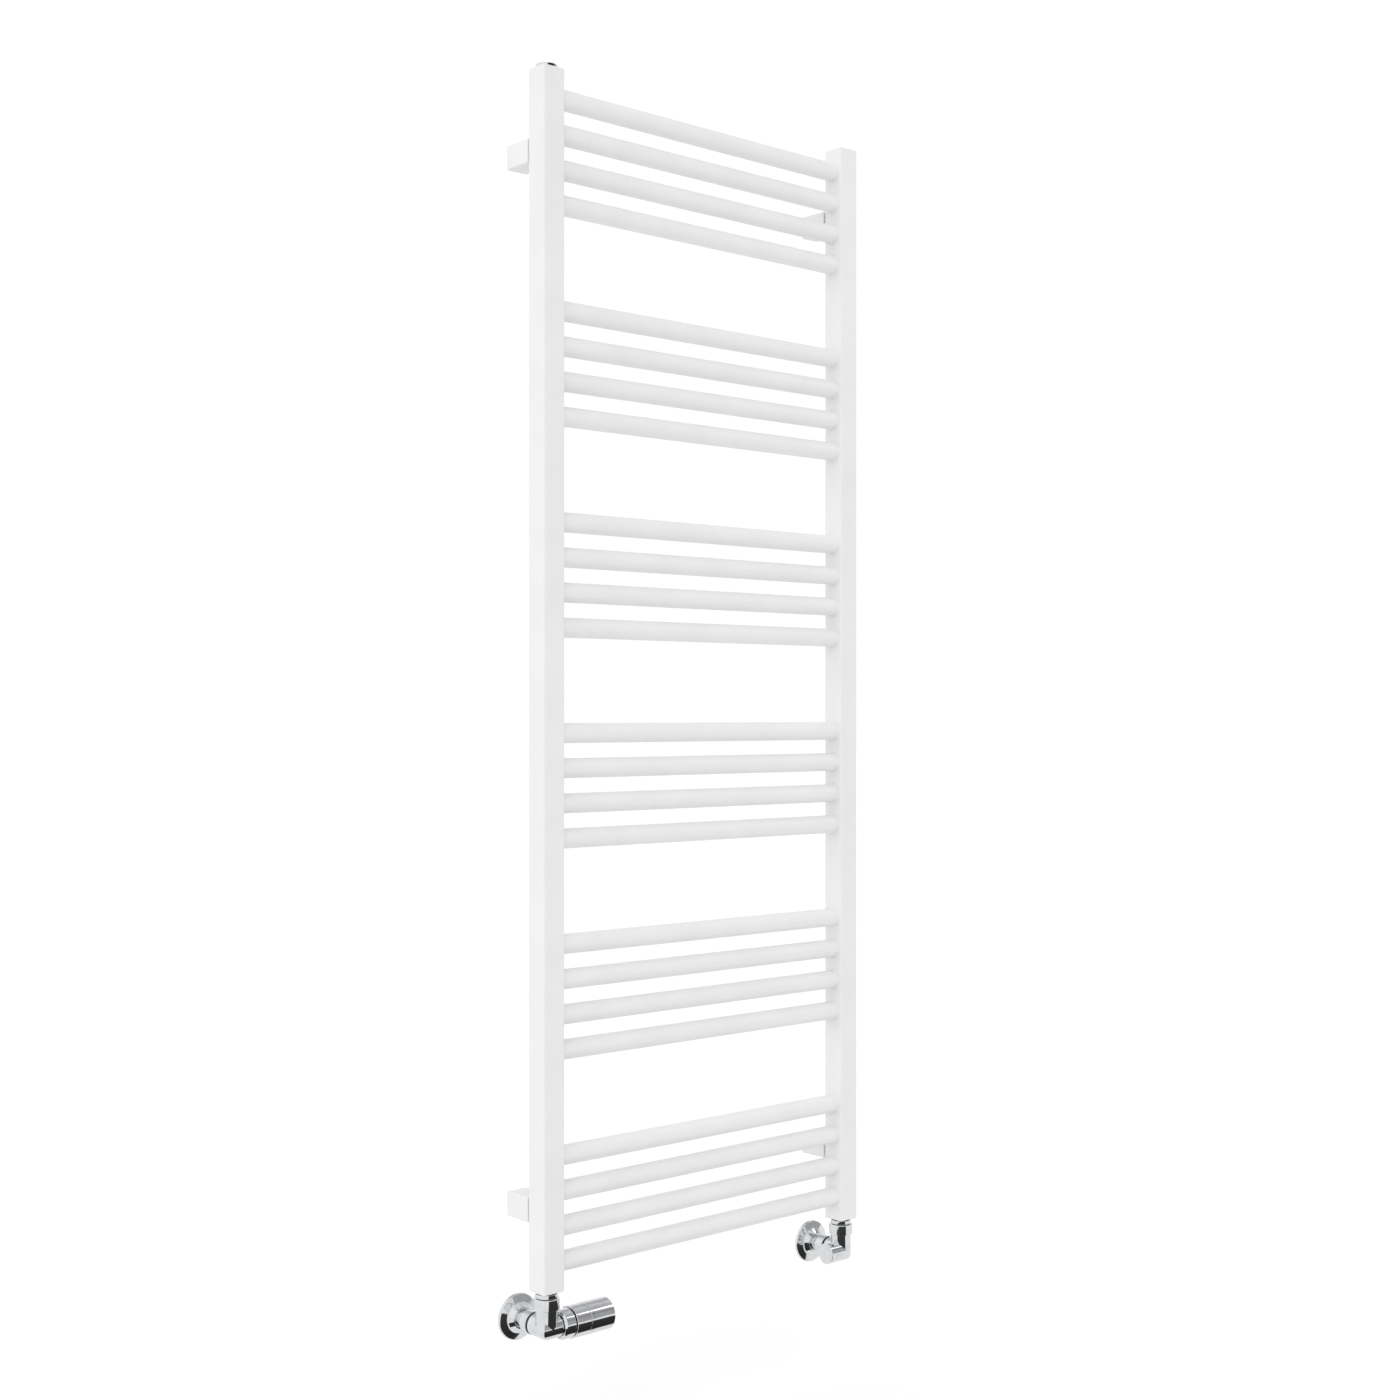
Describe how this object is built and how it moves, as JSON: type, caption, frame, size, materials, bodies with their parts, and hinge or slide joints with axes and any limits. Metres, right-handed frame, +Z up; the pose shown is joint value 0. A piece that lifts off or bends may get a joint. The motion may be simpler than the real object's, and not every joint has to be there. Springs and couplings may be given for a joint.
{
  "type": "radiator with valve",
  "caption": "Wall-hung ladder towel radiator with square collectors, round rungs, wall brackets, and chrome thermostatic and lockshield corner valves.",
  "frame": {"origin": "centre of the four wall fixings' rectangle, on the wall's face", "axes": "+X along the width from the thermostatic valve's side to the lockshield valve's side, +Y into the wall, +Z up"},
  "size_m": [0.523, 0.0759, 1.4532],
  "materials": {
    "white_powder_coat": "satin white powder coat",
    "chrome": "polished chrome plate",
    "brass": "machined brass",
    "black_rubber": "black seal rubber",
    "zinc_steel": "zinc plated steel",
    "grey_plastic": "moulded grey plastic"
  },
  "bodies": {
    "root": {"left_collector": "white_powder_coat", "right_collector": "white_powder_coat", "rung_01": "white_powder_coat", "rung_02": "white_powder_coat", "rung_03": "white_powder_coat", "rung_04": "white_powder_coat", "rung_05": "white_powder_coat", "rung_06": "white_powder_coat", "rung_07": "white_powder_coat", "rung_08": "white_powder_coat", "rung_09": "white_powder_coat", "rung_10": "white_powder_coat", "rung_11": "white_powder_coat", "rung_12": "white_powder_coat", "rung_13": "white_powder_coat", "rung_14": "white_powder_coat", "rung_15": "white_powder_coat", "rung_16": "white_powder_coat", "rung_17": "white_powder_coat", "rung_18": "white_powder_coat", "rung_19": "white_powder_coat", "rung_20": "white_powder_coat", "rung_21": "white_powder_coat", "rung_22": "white_powder_coat", "rung_23": "white_powder_coat", "rung_24": "white_powder_coat", "end_plates": "white_powder_coat", "threaded_sockets": "white_powder_coat", "bracket_bosses": "white_powder_coat", "air_vent_plug": "chrome", "air_vent_seal": "black_rubber", "bracket_covers": "white_powder_coat", "bracket_wall_bases": "zinc_steel", "bracket_studs": "zinc_steel", "bracket_grub_screws": "zinc_steel", "trv_body": "chrome", "trv_insert": "brass", "trv_gland": "brass", "trv_return_spring": "zinc_steel", "trv_collar": "chrome", "trv_index_sleeve": "chrome", "lockshield_body": "chrome", "tailpieces": "chrome", "union_nuts": "chrome", "tailpiece_seals": "black_rubber", "compression_nuts": "chrome", "o_rings": "black_rubber", "olives": "brass", "pipe_sleeves": "chrome", "wall_roses": "chrome"},
    "thermostat_handle": {"trv_handle": "chrome"},
    "thermostat_sensor": {"trv_sensor": "grey_plastic"},
    "valve_spindle": {"trv_push_pin": "grey_plastic", "trv_spindle": "zinc_steel", "trv_seat_washer": "black_rubber"},
    "lockshield_spindle_seal": {"lockshield_spindle_seal": "black_rubber"},
    "lockshield_spindle": {"lockshield_spindle": "brass"},
    "lockshield_cap_seal": {"lockshield_cap_seal": "black_rubber"},
    "lockshield_cap": {"lockshield_cap": "chrome"},
    "bleed_screw": {"bleed_screw": "brass"}
  },
  "joints": [
    {"name": "thermostat_handle_turn", "type": "hinge", "parent": "root", "child": "thermostat_handle", "pos_m": [-0.235, -0.0575, -0.7322], "axis": [-1, 0, 0], "range_deg": [0, 300]},
    {"name": "thermostat_sensor_travel", "type": "slide", "parent": "root", "child": "thermostat_sensor", "axis": [-1, 0, 0], "range_m": [0, 0.00161], "deforming": ["trv_return_spring"]},
    {"name": "thermostat_stroke", "type": "slide", "parent": "thermostat_sensor", "child": "valve_spindle", "axis": [-1, 0, 0], "range_m": [0, 0.0018], "stiffness_N_per_m": 1500, "deforming": ["trv_return_spring"]},
    {"name": "lockshield_spindle_travel", "type": "slide", "parent": "root", "child": "lockshield_spindle_seal", "axis": [1, 0, 0], "range_m": [0, 0.00301]},
    {"name": "lockshield_spindle_turn", "type": "hinge", "parent": "lockshield_spindle_seal", "child": "lockshield_spindle", "pos_m": [0.235, -0.0575, -0.7322], "axis": [1, 0, 0], "range_deg": [0, 1080]},
    {"name": "lockshield_cap_travel", "type": "slide", "parent": "root", "child": "lockshield_cap_seal", "axis": [-1, 0, 0], "range_m": [0, 0.00601]},
    {"name": "lockshield_cap_turn", "type": "hinge", "parent": "lockshield_cap_seal", "child": "lockshield_cap", "pos_m": [0.235, -0.0575, -0.7322], "axis": [-1, 0, 0], "range_deg": [0, 1440]},
    {"name": "bleed_screw_turn", "type": "hinge", "parent": "root", "child": "bleed_screw", "pos_m": [-0.235, -0.0575, 0.69], "axis": [0, 0, 1], "range_deg": [0, 360]}
  ],
  "couplings": [
    {"joint": "thermostat_sensor_travel", "follows": "thermostat_handle_turn", "m_per_rad": 0.00030558},
    {"joint": "lockshield_spindle_travel", "follows": "lockshield_spindle_turn", "m_per_rad": 0.00015915},
    {"joint": "lockshield_cap_travel", "follows": "lockshield_cap_turn", "m_per_rad": 0.00023873}
  ]
}
